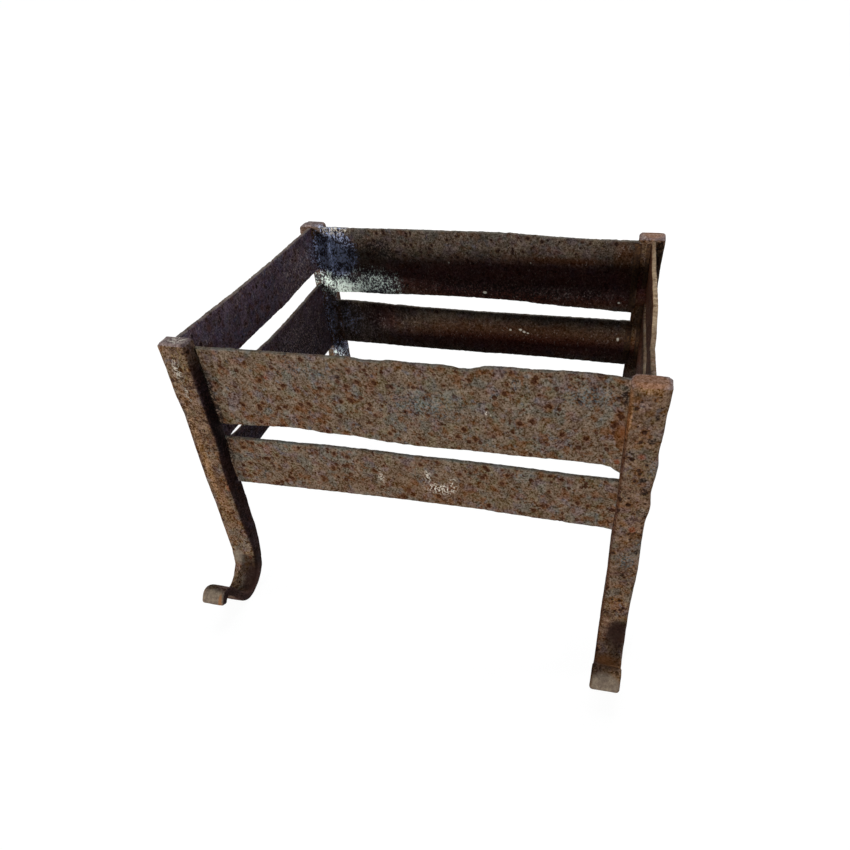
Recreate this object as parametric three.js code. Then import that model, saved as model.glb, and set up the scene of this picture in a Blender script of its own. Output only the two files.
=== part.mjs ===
// Log holder: an open basket of flat iron rails welded between four forged legs.
// Millimetres, +Z up, front toward -Y. The heels of the feet stand on z = 0.

import * as THREE from 'three';

// Driving dimensions: the basket, between the inner faces of the legs
const standHeight = 284;
const basketWidth = 356;
const basketDepth = 274;
const railDrop = 6;
const railThickness = 4;

// Rails of the front and back panels, wide one on top
const frontWideHeight = 80;
const frontGap = 15;
const frontNarrowHeight = 52;

// Rails of the side panels, narrow one on top, each set in from the legs' inner faces
const sideNarrowHeight = 52;
const sideGap = 19;
const sideWideHeight = 84;
const leftRailInset = 16;
const rightRailInset = 13;

// Leg bar: it narrows toward the foot, and its head is spread by the hammer
const legWidth = 26;
const legFootWidth = 24;
const legThickness = 15;
const legEdge = 1.5;
const legEdgeSteps = 2;
const legSteps = 112;
const headHeight = 32;

// Legs are forged by eye, so each has its own drop below the stand's height and its own head spread.
// Reach is forward from the leg's back face, rise is up from the floor, drift is toward the middle.
const bendHeight = 68;
const heelWear = 0.8;
const legs = {
  front_left: { drop: 0, spread: 0.5, reach: 80, rise: 43, drift: 0 },
  front_right: { drop: 0, spread: 2.5, reach: 95, rise: 36, drift: 6 },
  back_left: { drop: 2.5, spread: 2.5, reach: 84, rise: 40, drift: 2 },
  back_right: { drop: 1.5, spread: 1, reach: 95, rise: 38, drift: 4 },
};

// Worn notch in the top edge of the front upper rail, placed from the middle of the rail
const notchPlace = 56;
const notchLength = 31;
const notchDepth = 2.5;
const shoulderShare = 0.25;

// Split in the left lower rail, placed from the rail's front end and down from its top edge
const splitPlace = 43;
const splitDrop = 48;
const splitLength = 40;
const splitHeight = 4.5;
const splitSlope = 3;

// Weld beads: a raised bead on each flush seam and a fillet in each side rail's corner
const beadWidth = 7;
const beadHeight = 2;
const filletSize = 5;
const filletBulgeShare = 0.56;
const beadEndMargin = 3;
const beadSteps = 8;

// Levels and places that follow from the sizes above
const railTop = standHeight - railDrop;
const halfWidth = basketWidth / 2;
const halfDepth = basketDepth / 2;
const frontLowerTop = railTop - frontWideHeight - frontGap;
const sideLowerTop = railTop - sideNarrowHeight - sideGap;

// Middle line of a foot: forward as a share of its reach, up as a share of its rise
const footShares = [
  [0.165, 0.640],
  [0.215, 0.420],
  [0.310, 0.230],
  [0.435, 0.135],
  [0.545, 0.165],
  [0.630, 0.310],
  [0.697, 0.510],
  [0.760, 0.735],
  [0.838, 0.872],
  [0.910, 0.840],
  [0.948, 0.745],
];

// Thickness of a leg bar along its length: share of the length, then share of the leg's thickness
const thicknessShares = [
  [0.000, 1.08],
  [0.030, 1.00],
  [0.600, 1.08],
  [0.720, 0.86],
  [0.800, 0.76],
  [0.850, 0.70],
  [0.890, 0.82],
  [0.935, 0.64],
  [0.965, 0.70],
  [1.000, 0.74],
];

const finish = {
  legs: new THREE.MeshStandardMaterial({ color: 0x75593e, roughness: 0.85, metalness: 0.4 }),
  front_rails: new THREE.MeshStandardMaterial({ color: 0x66584c, roughness: 0.8, metalness: 0.4 }),
  back_rails: new THREE.MeshStandardMaterial({ color: 0x54463e, roughness: 0.85, metalness: 0.35 }),
  side_rails: new THREE.MeshStandardMaterial({ color: 0x4b3d3c, roughness: 0.85, metalness: 0.35 }),
  welds: new THREE.MeshStandardMaterial({ color: 0x4e3a2c, roughness: 0.9, metalness: 0.3 }),
};

const holder = new THREE.Group();

function add(name, geometry, material) {
  const mesh = new THREE.Mesh(geometry, material);
  mesh.name = name;
  holder.add(mesh);
  return mesh;
}

// Value at a share of the length, read between the two nearest rows of a table
function between(table, share) {
  const next = table.findIndex(([place], i) => i > 0 && place >= share);
  const [a, low] = table[next - 1];
  const [b, high] = table[next];
  return THREE.MathUtils.mapLinear(share, a, b, low, high);
}

// Side outline of a leg. Forward is x and up is y, and the back face of the upright is on x = 0.
function legOutline({ drop, reach, rise }) {
  const half = legThickness / 2;
  const line = new THREE.SplineCurve([
    new THREE.Vector2(half, standHeight - drop),
    new THREE.Vector2(half, (standHeight - drop + bendHeight) / 2),
    new THREE.Vector2(half, bendHeight),
    ...footShares.map(([forward, up]) => new THREE.Vector2(forward * reach, up * rise)),
  ]);
  const front = [];
  const back = [];
  for (let i = 0; i <= legSteps; i += 1) {
    const share = i / legSteps;
    const middle = line.getPointAt(share);
    const along = line.getTangentAt(share);
    const toFront = new THREE.Vector2(-along.y, along.x);
    toFront.multiplyScalar(half * between(thicknessShares, share));
    front.push(middle.clone().add(toFront));
    const behind = middle.clone().sub(toFront);
    behind.x = Math.max(behind.x, 0);
    back.unshift(behind);
  }
  return standOnHeel([...front, ...back]);
}

// The bend is moved so that its underside passes a little below the floor, and the heel is worn flat there
function standOnHeel(outline) {
  const lowest = Math.min(...outline.map((point) => point.y)) + heelWear;
  for (const point of outline) {
    point.y -= lowest * THREE.MathUtils.clamp(1 - point.y / bendHeight, 0, 1);
    point.y = Math.max(point.y, 0);
  }
  return outline;
}

// Leg with its inner face on x = 0 and its back face on y = 0, its outer side toward -X, its foot toward -Y
function legGeometry(leg) {
  const geometry = new THREE.ExtrudeGeometry(new THREE.Shape(legOutline(leg)), {
    depth: legWidth - 2 * legEdge,
    bevelThickness: legEdge,
    bevelSize: legEdge,
    bevelOffset: -legEdge,
    bevelSegments: legEdgeSteps,
  });
  geometry.translate(0, 0, legEdge);
  geometry.rotateX(Math.PI / 2);
  geometry.rotateZ(-Math.PI / 2);
  const headTop = standHeight - leg.drop;
  const place = geometry.attributes.position;
  const point = new THREE.Vector3();
  for (let i = 0; i < place.count; i += 1) {
    point.fromBufferAttribute(place, i);
    const head = THREE.MathUtils.smoothstep(point.z, headTop - headHeight, headTop);
    const taper = THREE.MathUtils.mapLinear(point.z, 0, standHeight, legFootWidth, legWidth);
    const width = taper + head * leg.spread;
    const forward = Math.max(-point.y - legThickness, 0) / (leg.reach - legThickness);
    place.setX(i, point.x * width / legWidth + forward * leg.drift);
  }
  return geometry;
}

// Copy of a geometry reflected across x = 0 or y = 0, with its faces turned back outward
function reflected(geometry, acrossX, acrossY) {
  const copy = geometry.clone();
  copy.scale(acrossX ? -1 : 1, acrossY ? -1 : 1, 1);
  if (acrossX !== acrossY) {
    const place = copy.attributes.position;
    const first = new THREE.Vector3();
    const last = new THREE.Vector3();
    for (let i = 0; i < place.count; i += 3) {
      first.fromBufferAttribute(place, i);
      last.fromBufferAttribute(place, i + 2);
      place.setXYZ(i, last.x, last.y, last.z);
      place.setXYZ(i + 2, first.x, first.y, first.z);
    }
  }
  copy.computeVertexNormals();
  return copy;
}

function addLegs() {
  for (const [corner, sizes] of Object.entries(legs)) {
    const isRight = corner.endsWith('right');
    const isBack = corner.startsWith('back');
    const leg = add(`leg_${corner}`, reflected(legGeometry(sizes), isRight, isBack), finish.legs);
    leg.position.set(isRight ? halfWidth : -halfWidth, isBack ? halfDepth : -halfDepth, 0);
  }
}

// Face of a rail: its length is x, its height is y, and its top edge is on y = 0
function railShape(length, height) {
  const shape = new THREE.Shape();
  shape.moveTo(-length / 2, -height);
  shape.lineTo(length / 2, -height);
  shape.lineTo(length / 2, 0);
  shape.lineTo(-length / 2, 0);
  shape.closePath();
  return shape;
}

// Rail face with the worn notch: two soft shoulders and a flat floor
function notchedShape(length, height) {
  const shape = new THREE.Shape();
  const shoulder = notchLength * shoulderShare;
  const left = notchPlace - notchLength / 2;
  const right = notchPlace + notchLength / 2;
  shape.moveTo(-length / 2, -height);
  shape.lineTo(length / 2, -height);
  shape.lineTo(length / 2, 0);
  shape.lineTo(right, 0);
  shape.quadraticCurveTo(right - shoulder / 2, -notchDepth, right - shoulder, -notchDepth);
  shape.lineTo(left + shoulder, -notchDepth);
  shape.quadraticCurveTo(left + shoulder / 2, -notchDepth, left, 0);
  shape.lineTo(-length / 2, 0);
  shape.closePath();
  return shape;
}

// Lens-shaped split, pointed at both ends and a little lower at its back end
function splitHole() {
  const front = splitPlace - splitLength / 2 - halfDepth;
  const back = front + splitLength;
  const middle = (front + back) / 2;
  const hole = new THREE.Path();
  hole.moveTo(front, -splitDrop);
  hole.quadraticCurveTo(middle, -splitDrop - splitSlope / 2 + splitHeight, back, -splitDrop - splitSlope);
  hole.quadraticCurveTo(middle, -splitDrop - splitSlope / 2 - splitHeight, front, -splitDrop);
  return hole;
}

function railGeometry(shape) {
  const geometry = new THREE.ExtrudeGeometry(shape, { depth: railThickness, bevelEnabled: false });
  geometry.rotateX(Math.PI / 2);
  return geometry;
}

// Rails of the front and back panels: their inner faces are flush with the legs' inner faces
function addFrontAndBackRails() {
  for (const side of ['front', 'back']) {
    const isFront = side === 'front';
    const y = isFront ? -halfDepth : halfDepth + railThickness;
    const wideShape = isFront ? notchedShape : railShape;
    const upper = railGeometry(wideShape(basketWidth, frontWideHeight));
    const lower = railGeometry(railShape(basketWidth, frontNarrowHeight));
    const material = finish[`${side}_rails`];
    add(`rail_${side}_upper`, upper, material).position.set(0, y, railTop);
    add(`rail_${side}_lower`, lower, material).position.set(0, y, frontLowerTop);
  }
}

// Rails of the side panels: they butt on the inner faces of the front and back legs
function addSideRails() {
  for (const side of ['left', 'right']) {
    const isLeft = side === 'left';
    const inner = halfWidth + (isLeft ? leftRailInset : rightRailInset);
    const x = isLeft ? -inner - railThickness : inner;
    const lowerShape = railShape(basketDepth, sideWideHeight);
    if (isLeft) lowerShape.holes.push(splitHole());
    const upper = railGeometry(railShape(basketDepth, sideNarrowHeight)).rotateZ(Math.PI / 2);
    const lower = railGeometry(lowerShape).rotateZ(Math.PI / 2);
    add(`rail_${side}_upper`, upper, finish.side_rails).position.set(x, 0, railTop);
    add(`rail_${side}_lower`, lower, finish.side_rails).position.set(x, 0, sideLowerTop);
  }
}

// Bead over a flush seam: a low half ellipse, its flat back on y = 0 and its crown toward +Y
function seamBead(length) {
  const shape = new THREE.Shape();
  shape.absellipse(0, 0, beadWidth / 2, beadHeight, 0, Math.PI);
  shape.closePath();
  return new THREE.ExtrudeGeometry(shape, { depth: length, bevelEnabled: false, curveSegments: beadSteps });
}

// Fillet in a corner whose two faces are x = 0 and y = 0, filling the side where both are positive
function cornerBead(length) {
  const shape = new THREE.Shape();
  shape.moveTo(0, 0);
  shape.lineTo(filletSize, 0);
  const bulge = filletSize * filletBulgeShare;
  shape.quadraticCurveTo(bulge, bulge, 0, filletSize);
  shape.closePath();
  return new THREE.ExtrudeGeometry(shape, { depth: length, bevelEnabled: false, curveSegments: beadSteps });
}

function addWelds() {
  const levels = {
    front: { upper: [railTop, frontWideHeight], lower: [frontLowerTop, frontNarrowHeight] },
    side: { upper: [railTop, sideNarrowHeight], lower: [sideLowerTop, sideWideHeight] },
  };
  for (const isBack of [false, true]) {
    for (const isRight of [false, true]) {
      for (const level of ['upper', 'lower']) {
        const lengthways = isBack ? 'back' : 'front';
        const sideways = isRight ? 'right' : 'left';
        const y = isBack ? halfDepth : -halfDepth;
        const [seamTop, seamHeight] = levels.front[level];
        const seam = reflected(seamBead(seamHeight - 2 * beadEndMargin), isRight, isBack);
        add(`weld_${lengthways}_${level}_${sideways}`, seam, finish.welds)
          .position.set(isRight ? halfWidth : -halfWidth, y, seamTop - seamHeight + beadEndMargin);
        const inner = halfWidth + (isRight ? rightRailInset : leftRailInset);
        const [cornerTop, cornerHeight] = levels.side[level];
        const corner = reflected(cornerBead(cornerHeight - 2 * beadEndMargin), isRight, isBack);
        add(`weld_${sideways}_${level}_${lengthways}`, corner, finish.welds)
          .position.set(isRight ? inner : -inner, y, cornerTop - cornerHeight + beadEndMargin);
      }
    }
  }
}

addLegs();
addFrontAndBackRails();
addSideRails();
addWelds();

export default holder;
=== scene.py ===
# Log holder: an open basket of rusted flat rails welded between four forged legs.
# Metres, +Z up, front toward -Y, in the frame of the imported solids.

import math
import random
from bisect import bisect
from collections import namedtuple

import bmesh
import bpy
from mathutils import Matrix, Vector, kdtree, noise
from mathutils.geometry import interpolate_bezier


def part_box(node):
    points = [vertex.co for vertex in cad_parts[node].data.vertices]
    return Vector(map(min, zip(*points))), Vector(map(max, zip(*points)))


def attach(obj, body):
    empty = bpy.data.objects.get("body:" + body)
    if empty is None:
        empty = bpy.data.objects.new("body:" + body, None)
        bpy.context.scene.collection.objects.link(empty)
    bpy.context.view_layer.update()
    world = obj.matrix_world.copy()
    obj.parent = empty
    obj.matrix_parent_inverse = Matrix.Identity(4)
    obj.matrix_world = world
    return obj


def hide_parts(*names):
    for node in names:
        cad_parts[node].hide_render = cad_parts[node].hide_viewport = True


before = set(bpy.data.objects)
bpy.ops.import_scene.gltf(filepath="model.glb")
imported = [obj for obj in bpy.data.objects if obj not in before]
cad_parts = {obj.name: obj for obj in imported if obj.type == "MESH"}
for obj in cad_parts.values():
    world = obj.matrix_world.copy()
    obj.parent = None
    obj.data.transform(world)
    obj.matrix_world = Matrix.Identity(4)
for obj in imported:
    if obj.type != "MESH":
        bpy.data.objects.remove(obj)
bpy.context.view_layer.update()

mm = 0.001

# The basket, as the solids have it
stand_height = 284 * mm
half_width = 178 * mm
half_depth = 137 * mm

# Leg bar and its bends, as the solids have them
leg_width = 26 * mm
foot_width = 24 * mm
leg_thick = 15 * mm
head_height = 32 * mm
bend_height = 68 * mm
heel_wear = 0.8 * mm

# Each leg in mm: drop and spread of its head, reach, rise and sideways drift of its foot,
# width of its toe, fade of its head's look, and round of its head
Leg = namedtuple("Leg", "drop spread reach rise drift toe fade round")
leg_rows = {
    "front_left": (0, 0.5, 80, 43, -1.5, 20.5, 3, 3.5),
    "front_right": (0, 2.5, 95, 36, 4.4, 24, 6, 4),
    "back_left": (2.5, 2.5, 84, 40, 2, 22, 3, 6),
    "back_right": (1.5, 1, 95, 38, 4, 25, 7, 2),
}
legs = {corner: Leg(*[size * mm for size in row]) for corner, row in leg_rows.items()}

# The line of a foot from the heel on, and a leg's thickness along its length, as shares
foot_shares = [
    (0.165, 0.64), (0.215, 0.42), (0.31, 0.23), (0.435, 0.135), (0.545, 0.165), (0.63, 0.31),
    (0.697, 0.51), (0.762, 0.76), (0.83, 0.915), (0.892, 0.945), (0.942, 0.872), (0.974, 0.777),
]
thickness_shares = [
    (0, 1.08), (0.03, 1), (0.6, 1.08), (0.72, 0.86), (0.8, 0.74), (0.845, 0.66), (0.872, 0.57),
    (0.9, 0.57), (0.93, 0.57), (0.965, 0.54), (1, 0.4),
]

# How far a leg's outer and inner sides stand proud: height, then offset, in mm
leg_sides = {
    "front_left": (
        [(0, 0.4), (20, 0.5), (60, 2), (110, 1.6), (160, 1), (190, 0), (212, -1), (236, 0.5),
         (284, 0)],
        [(0, 0.4), (7, 0.8), (35, 2.2), (85, 0.8), (118, 1.8), (150, 0.8), (284, 0.3)]),
    "front_right": (
        [(0, -1.6), (30, -1.3), (90, 0.3), (148, -0.5), (168, 1.4), (182, 0.1), (211, 2), (223, 1),
         (244, 2), (284, 0.5)],
        [(0, 1.6), (25, 2), (75, 0.4), (110, 1), (150, 0), (284, 0)]),
    "back_left": (
        [(0, 0), (90, 0.8), (200, -0.4), (258, 0), (266, 3.6), (271, 4.6), (276, 3.4), (282, 2)],
        [(0, 0), (110, -0.6), (262, 0), (276, -3), (282, -4)]),
    "back_right": (
        [(0, 0), (70, -0.5), (130, 0.6), (200, -0.3), (284, 0)],
        [(0, 0), (90, 0.6), (170, -0.4), (284, 0)]),
}

# How far the front inner edge of a leg is hammered back: height, then depth, in mm
leg_tapers = {
    "front_left": [(40, 0), (62, 0.2), (87, 1.7), (114, 2.8), (138, 2.9), (151, 2.5), (164, 1.4),
                   (176, -0.5), (190, -1), (205, 0)],
}

# How far a rail bows outward: place from its middle, then offset, in mm
rail_bows = {
    "rail_right_upper": [(-137, -0.6), (-100, -0.3), (-60, 1.3), (-10, 2.2), (35, 1.7), (70, 0.7),
                         (137, 0.3)],
    "rail_right_lower": [(-137, 0), (0, 1.2), (137, 0)],
    "rail_left_upper": [(-137, 0), (-30, 0.8), (137, 0)],
}

# How far a rail's two edges wander: place from its middle, then rise, in mm
rail_edges = {
    "rail_front_upper": (
        [(-178, -2.2), (-138, -1.6), (-97, -1.1), (-64, -0.7), (-43, 0.2), (-30, -1.2),
         (-16, -1.2), (-5, 0), (10, -0.6), (36, -0.3), (44, -1), (50, -2.5), (57, -2.1),
         (64, -0.6), (71, 1.8), (80, 2.4), (108, 2.3), (136, 3.1), (150, 3.3), (164, 2.6),
         (178, 1.2)],
        [(-178, 0.2), (-150, 1.6), (-130, 2.8), (-115, 3.8), (-101, 4.4), (-88, 3.8), (-76, 2.5),
         (-46, 2.8), (-31, 1.2), (-18, 0.1), (10, -0.6), (38, -0.1), (52, 0.8), (94, 0.2),
         (143, 0.9), (162, 0.8), (170, 0.2), (178, -2.8)]),
    "rail_front_lower": (
        [(-178, -1), (-116, 0.5), (-74, 1.3), (-32, 1.4), (10, 0.8), (38, 1.1), (80, 0.9),
         (122, 0.1), (143, -0.3), (164, 0), (178, 0.2)],
        [(-178, -1.9), (-143, -0.6), (-102, 0.1), (-60, 0.5), (-32, 1.2), (0, 1.8), (38, 1.8),
         (66, 1.5), (94, 0.4), (122, -0.3), (150, -1.1), (178, -1.2)]),
    "rail_back_upper": (
        [(-178, 1.3), (-130, 1.3), (-88, 2), (-32, 2.3), (10, 2.6), (38, 2.4), (66, 1.2),
         (94, -0.1), (122, -1), (178, -0.8)],
        [(-178, 1.4), (-144, 2.5), (-116, 2.3), (-74, 3.9), (-46, 4.5), (-18, 4.7), (24, 4.1),
         (52, 3.3), (80, 1.4), (108, 0), (136, -0.7), (164, -2.4), (178, -2.6)]),
    "rail_back_lower": (
        [(-178, 4.5), (-158, 4.9), (-130, 4), (-102, 2.5), (-60, 1.4), (10, 0.7), (66, 0.5),
         (122, 0.8), (178, 0.8)],
        [(-178, 0.1), (-130, -0.5), (-88, -1.1), (-32, -1.5), (10, -1.8), (38, -1.2), (80, -1.3),
         (122, -2.1), (164, -3), (178, -3)]),
    "rail_left_upper": (
        [(-137, 3.4), (-116, 2.4), (-93, 1.5), (-59, 0.3), (-35, -0.4), (51, -0.4), (98, 0.3),
         (137, 0.8)],
        [(-137, 1.5), (-46, 1.1), (-10, 0.4), (25, 0.3), (37, -0.4), (50, 0), (74, 1.5), (99, 2.5),
         (137, 3)]),
    "rail_left_lower": (
        [(-137, 1.5), (-60, 1), (-22, 0.4), (2, -0.9), (39, -0.8), (62, 0.1), (87, 0.8),
         (111, 1.9), (137, 2.5)],
        [(-137, 0.4), (-60, -0.6), (0, 0.5), (70, -0.4), (137, 0.6)]),
    "rail_right_upper": (
        [(-137, 0.8), (-80, -0.6), (-10, 0.4), (60, -0.5), (137, 0.5)],
        [(-137, 0.2), (-60, 0.9), (20, -0.6), (90, 0.7), (137, 0)]),
    "rail_right_lower": (
        [(-137, -0.4), (-50, 0.8), (30, -0.5), (137, 0.6)],
        [(-137, 0.6), (-70, -0.7), (10, 0.6), (80, -0.6), (137, 0.3)]),
}

# A table that changes nothing
no_table = [(0, 0), (1, 0)]


# Shapes


def read_off(table, place, eased=True):
    """Value at a place, eased or straight between the two nearest rows of a table."""
    if place <= table[0][0]:
        return table[0][1]
    for (a, low), (b, high) in zip(table, table[1:]):
        if place <= b:
            share = smooth(a, b, place) if eased else (place - a) / (b - a)
            return low + (high - low) * share
    return table[-1][1]


def smooth(low, high, value):
    """0 up to low and 1 from high on, with an eased slope between them."""
    share = min(max((value - low) / (high - low), 0.0), 1.0)
    return share * share * (3 - 2 * share)


# Rust blisters: how far a search keeps a bar's sides apart, how many neighbours count, the
# shares without a pit and with a halo, and how many radii a halo reaches
side_apart = 1.0
near_blisters = 4
bare_share = 0.25
halo_share = 0.68
halo_reach = 2.2

# Spacing, smallest radius and largest radius of the blisters
rail_blisters = (8.4 * mm, 0.9 * mm, 3.0 * mm)
leg_blisters = (9 * mm, 1.0 * mm, 2.8 * mm)
pit_depth = 0.42 * mm
halo_height = 0.14 * mm


def bar(size, edge, cells, edge_cuts=2):
    """A straight bar with rounded edges, its faces cut into even cells."""
    bm = bmesh.new()
    bmesh.ops.create_cube(bm, size=1.0, matrix=Matrix.Diagonal((*size, 1.0)))
    bmesh.ops.bevel(bm, geom=bm.edges[:], offset=edge, offset_type="OFFSET",
                    segments=edge_cuts, profile=0.5, affect="EDGES", material=-1)
    for axis in range(3):
        flat = size[axis] - 2 * edge
        lengthways = []
        for e in bm.edges:
            run = e.verts[1].co - e.verts[0].co
            if abs(run[axis]) > 0.9 * flat and run.length < 1.001 * abs(run[axis]):
                lengthways.append(e)
        bmesh.ops.subdivide_edges(bm, edges=lengthways, cuts=cells[axis] - 1,
                                  use_grid_fill=True)
    return bm


def scatter(rng, low, high, spacing, smallest, largest):
    """Blisters strewn over a flat area: place, up and radius of each."""
    count = round((high[0] - low[0]) * (high[1] - low[1]) / spacing ** 2)
    return [(rng.uniform(low[0], high[0]), rng.uniform(low[1], high[1]),
             smallest + (largest - smallest) * rng.random() ** 2) for _ in range(count)]


class Blisters:
    """Rust blisters on the sides of a bar."""

    def __init__(self, rng, spans, sizes):
        spots = [(Vector((place, up, side * side_apart)), radius, rng.random())
                 for side, (low, high) in enumerate(spans)
                 for place, up, radius in scatter(rng, low, high, *sizes)]
        self.tree = kdtree.KDTree(len(spots))
        for index, spot in enumerate(spots):
            self.tree.insert(spot[0], index)
        self.tree.balance()
        self.spots = spots

    def at(self, side, place, up):
        """Strength of the pits and of the halos round them."""
        pit = halo = 0.0
        for _, index, far in self.tree.find_n((place, up, side * side_apart), near_blisters):
            _, radius, kind = self.spots[index]
            if kind > bare_share:
                pit = max(pit, 1 - far / radius)
            if kind < halo_share:
                halo = max(halo, 1 - far / (radius * halo_reach))
        return max(pit, 0.0), max(halo, 0.0)


def sunken(pit):
    """How deep a blister's pit lies below the face."""
    return pit_depth * smooth(0.1, 0.7, pit)


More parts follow.
